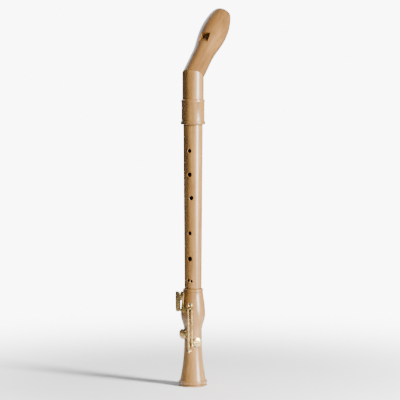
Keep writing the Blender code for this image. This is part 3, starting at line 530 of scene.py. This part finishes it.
@dataclass
class GrooveShadeLines:
    """Fine dark lines round a body, painted shade of turned grooves and of a bead's lower edge, made
    with Geometry Nodes.
    """

    name: str
    body: str
    centre: Vector
    radius: float
    count: int = 1
    spacing: float = 1.0 * MM
    wire: float = 0.11 * MM
    sides: int = 72
    wire_sides: int = 6
    sockets: dict[str, Any] = field(default_factory=dict)

    def tree(self) -> bpy.types.NodeTree:
        """Make the node tree that repeats one line along Z.

        Returns:
            The tree, with its inputs kept in self.sockets.
        """
        tree = bpy.data.node_groups.new(self.name, "GeometryNodeTree")
        face = tree.interface
        face.new_socket("Geometry", in_out="INPUT", socket_type="NodeSocketGeometry")
        face.new_socket("Geometry", in_out="OUTPUT", socket_type="NodeSocketGeometry")
        for label, kind in (("Radius", "NodeSocketFloat"), ("Wire", "NodeSocketFloat"),
                            ("Count", "NodeSocketInt"), ("Spacing", "NodeSocketVector"),
                            ("Start", "NodeSocketVector")):
            self.sockets[label] = face.new_socket(label, in_out="INPUT", socket_type=kind)
        nodes, links = tree.nodes, tree.links
        inside, outside = nodes.new("NodeGroupInput"), nodes.new("NodeGroupOutput")
        ring = nodes.new("GeometryNodeCurvePrimitiveCircle")
        ring.inputs["Resolution"].default_value = self.sides
        section = nodes.new("GeometryNodeCurvePrimitiveCircle")
        section.inputs["Resolution"].default_value = self.wire_sides
        sweep = nodes.new("GeometryNodeCurveToMesh")
        line = nodes.new("GeometryNodeMeshLine")
        place = nodes.new("GeometryNodeInstanceOnPoints")
        real = nodes.new("GeometryNodeRealizeInstances")
        paint = nodes.new("GeometryNodeSetMaterial")
        # The lines wear the painted groove shade colour
        paint.inputs["Material"].default_value = material_of(Finish.BURNT)
        links.new(inside.outputs["Radius"], ring.inputs["Radius"])
        links.new(inside.outputs["Wire"], section.inputs["Radius"])
        links.new(ring.outputs["Curve"], sweep.inputs["Curve"])
        links.new(section.outputs["Curve"], sweep.inputs["Profile Curve"])
        links.new(inside.outputs["Count"], line.inputs["Count"])
        links.new(inside.outputs["Spacing"], line.inputs["Offset"])
        links.new(inside.outputs["Start"], line.inputs["Start Location"])
        links.new(line.outputs["Mesh"], place.inputs["Points"])
        links.new(sweep.outputs["Mesh"], place.inputs["Instance"])
        links.new(place.outputs["Instances"], real.inputs["Geometry"])
        links.new(real.outputs["Geometry"], paint.inputs["Geometry"])
        links.new(paint.outputs["Geometry"], outside.inputs["Geometry"])
        return tree

    def build(self) -> None:
        """Make the lines as a plain mesh on their body."""
        carrier = bpy.data.objects.new(f"{self.name}_tree", bpy.data.meshes.new(self.name))
        bpy.context.scene.collection.objects.link(carrier)
        modifier = carrier.modifiers.new("lines", "NODES")
        modifier.node_group = self.tree()
        values = {"Radius": self.radius, "Wire": self.wire, "Count": self.count,
                  "Spacing": (0.0, 0.0, self.spacing), "Start": tuple(self.centre)}
        for label, value in values.items():
            modifier[self.sockets[label].identifier] = value
        bpy.context.view_layer.update()
        depsgraph = bpy.context.evaluated_depsgraph_get()
        mesh = bpy.data.meshes.new_from_object(carrier.evaluated_get(depsgraph))
        bpy.data.objects.remove(carrier)
        bm = bmesh.new()
        bm.from_mesh(mesh)
        bmesh.ops.recalc_face_normals(bm, faces=bm.faces)
        bm.to_mesh(mesh)
        bm.free()
        mesh.shade_smooth()
        # Thin dark rings: painted shade of the grooves, not a mark on the wood
        add_piece(self.name, mesh, Finish.BURNT, self.body)


# Studio

@dataclass(frozen=True)
class Softbox:
    """A rectangular lamp that faces the recorder, in metres, degrees and watts."""

    name: str
    turn: float
    height: float
    reach: float
    wide: float
    tall: float
    power: float
    colour: tuple[float, float, float]


SOFTBOXES = (
    Softbox("key", 54.0, 0.75, 1.5, 0.32, 1.3, 165.0, (1.0, 0.98, 0.95)),
    Softbox("front", 8.0, 1.2, 2.6, 1.2, 1.2, 12.0, (1.0, 1.0, 1.0)),
    Softbox("back", 200.0, 1.3, 2.0, 1.2, 1.2, 14.0, (0.97, 0.98, 1.0)),
)


def direction(azimuth: float) -> Vector:
    """Return the level direction at an azimuth, 0 towards -Y."""
    turn = math.radians(azimuth)
    return Vector((math.sin(turn), -math.cos(turn), 0.0))


def facing(spot: Vector, aim: Vector) -> Matrix:
    """Return the matrix of a lamp or camera at a spot that faces another."""
    return Matrix.Translation(spot) @ (aim - spot).to_track_quat("-Z", "Y").to_matrix().to_4x4()


@dataclass
class Studio:
    """The floor, the lights and the camera."""

    centre: Vector
    azimuth: float = 22.2
    distance: float = 3.1
    camera_height: float = 0.49
    aim_height: float = 0.29
    aim_right: float = 0.0109
    lens: float = 180.0
    sensor: float = 36.0
    nearest: float = 0.1
    farthest: float = 60.0
    floor_radius: float = 1.1
    floor_sides: int = 96
    floor_drop: float = 0.2 * MM
    floor_tone: float = 0.95
    floor_roughness: float = 0.9
    fade_start: float = 0.12
    fade_share: float = 0.92
    sky_seen: float = 9.0
    sky_glow: float = 0.2

    def floor(self) -> None:
        """Lay a plain pale floor that fades out round the recorder."""
        bm = bmesh.new()
        bmesh.ops.create_circle(bm, cap_ends=True, segments=self.floor_sides,
                                radius=self.floor_radius)
        mesh = bpy.data.meshes.new("floor")
        bm.to_mesh(mesh)
        bm.free()
        graph = Graph("pale_floor")
        here = graph.node("ShaderNodeTexCoord", out="Object")
        reach = graph.node("ShaderNodeVectorMath", {"operation": "LENGTH"}, {0: here}, "Value")
        fade = graph.node("ShaderNodeMapRange", {"interpolation_type": "SMOOTHERSTEP"}, {
            "Value": reach, "From Min": self.fade_start,
            "From Max": self.floor_radius * self.fade_share, "To Min": 1.0, "To Max": 0.0})
        pale = (self.floor_tone, self.floor_tone, self.floor_tone, 1.0)
        mesh.materials.append(graph.surface(Base_Color=pale, Roughness=self.floor_roughness,
                                            Alpha=fade))
        plane = bpy.data.objects.new("floor", mesh)
        plane.location = (0.0, 0.0, -self.floor_drop)
        bpy.context.scene.collection.objects.link(plane)

    def lamp(self, box: Softbox) -> None:
        """Hang a softbox, turned from the camera's azimuth by its own turn.

        Args:
            box: The softbox.
        """
        light = bpy.data.lights.new(box.name, "AREA")
        light.shape, light.size, light.size_y = "RECTANGLE", box.wide, box.tall
        light.energy, light.color = box.power, box.colour
        lamp = bpy.data.objects.new(box.name, light)
        bpy.context.scene.collection.objects.link(lamp)
        spot = self.centre + direction(self.azimuth + box.turn) * box.reach
        spot.z = box.height
        lamp.matrix_world = facing(spot, Vector((self.centre.x, self.centre.y, self.aim_height)))

    def world(self) -> None:
        """Make the surroundings pale, brighter to the eye than as a light."""
        world = bpy.data.worlds.new("studio")
        bpy.context.scene.world = world
        world.use_nodes = True
        nodes, links = world.node_tree.nodes, world.node_tree.links
        nodes.clear()
        seen, glow = nodes.new("ShaderNodeBackground"), nodes.new("ShaderNodeBackground")
        seen.inputs["Color"].default_value = (1.0, 1.0, 1.0, 1.0)
        seen.inputs["Strength"].default_value = self.sky_seen
        glow.inputs["Color"].default_value = (0.96, 0.97, 1.0, 1.0)
        glow.inputs["Strength"].default_value = self.sky_glow
        path, mix = nodes.new("ShaderNodeLightPath"), nodes.new("ShaderNodeMixShader")
        out = nodes.new("ShaderNodeOutputWorld")
        links.new(path.outputs["Is Camera Ray"], mix.inputs[0])
        links.new(glow.outputs[0], mix.inputs[1])
        links.new(seen.outputs[0], mix.inputs[2])
        links.new(mix.outputs[0], out.inputs["Surface"])

    def camera(self) -> None:
        """Set the camera at the photograph's viewing angle."""
        data = bpy.data.cameras.new("camera")
        data.lens, data.sensor_width = self.lens, self.sensor
        data.clip_start, data.clip_end = self.nearest, self.farthest
        camera = bpy.data.objects.new("camera", data)
        bpy.context.scene.collection.objects.link(camera)
        out = direction(self.azimuth)
        right = Vector((-out.y, out.x, 0.0))
        base = Vector((self.centre.x, self.centre.y, 0.0)) + right * self.aim_right
        spot = base + out * self.distance + Vector((0.0, 0.0, self.camera_height))
        camera.matrix_world = facing(spot, base + Vector((0.0, 0.0, self.aim_height)))
        bpy.context.scene.camera = camera

    def build(self) -> None:
        """Set up the whole studio."""
        self.floor()
        self.world()
        for box in SOFTBOXES:
            self.lamp(box)
        self.camera()


def foot_dress() -> dict[str, tuple[Finish, str]]:
    """Gather the foot body's nodes.

    Returns:
        Their finishes and slots.
    """
    dress = {"foot_joint": (Finish.PEARWOOD, "pearwood")}
    for key in ("c_key", "c_sharp_key"):
        dress[f"{key}_lower_pillar"] = (Finish.BRASS, "brass")
        dress[f"{key}_upper_pillar"] = (Finish.BRASS, "brass")
        dress[f"{key}_axle"] = (Finish.STEEL, "steel")
        dress[f"{key}_needle_spring"] = (Finish.BLUED, "blued_steel")
    return dress


# Heights of the dark lines painted as groove shade, those of the head from the neck's lower end
NECK_RING_HEIGHT = 1.6 * MM
BEAD_HEIGHT = 33.6 * MM
FOOT_LINE_HEIGHT = 2.5 * MM
COLLAR_HEIGHT = 147.0 * MM


def groove_shade_lines(neck_low: float, axis: Vector) -> list[GrooveShadeLines]:
    """Set out the dark lines painted as groove shade.

    Args:
        neck_low: The height of the neck's lower end.
        axis: The bore's place on the floor.

    Returns:
        The lines of every ring.
    """
    def at(height: float) -> Vector:
        """Return a point on the bore's axis."""
        return axis + Vector((0.0, 0.0, height))

    return [
        GrooveShadeLines("neck_ring_lines", "head", at(neck_low + NECK_RING_HEIGHT),
                    radius=19.27 * MM, count=3, spacing=1.2 * MM),
        GrooveShadeLines("bead_line", "head", at(neck_low + BEAD_HEIGHT), radius=18.0 * MM),
        GrooveShadeLines("foot_line", "foot", at(FOOT_LINE_HEIGHT), radius=21.3 * MM,
                    count=2, spacing=0.8 * MM),
        GrooveShadeLines("collar_line", "foot", at(COLLAR_HEIGHT), radius=15.2 * MM),
    ]


def main() -> None:
    """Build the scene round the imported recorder."""
    logging.basicConfig(level=logging.INFO)
    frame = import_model()
    low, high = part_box("foot_joint")
    centre = (low + high) / 2.0
    axis = Vector((centre.x, centre.y, 0.0))
    neck_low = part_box("neck_section")[0].z
    Assembly(frame, "foot", foot_dress()).build()
    Assembly(frame, "middle", {
        "middle_joint": (Finish.PEARWOOD, "pearwood"),
        "lower_tenon_cork": (Finish.CORK, "cork"),
        "upper_tenon_cork": (Finish.CORK, "cork")}).build()
    Assembly(frame, "head", {
        "neck_section": (Finish.PEARWOOD, "pearwood"),
        "beak_section": (Finish.HEADWOOD, "pearwood")}).build()
    Assembly(frame, "block", {"windway_block": (Finish.CEDAR, "cedar")}).build()
    Key(frame, "c_key", {}, has_heel=True).build()
    Key(frame, "c_sharp_key", {}).build()
    for lines in groove_shade_lines(neck_low, axis):
        lines.build()
    Studio(axis).build()


if __name__ == "__main__":
    main()
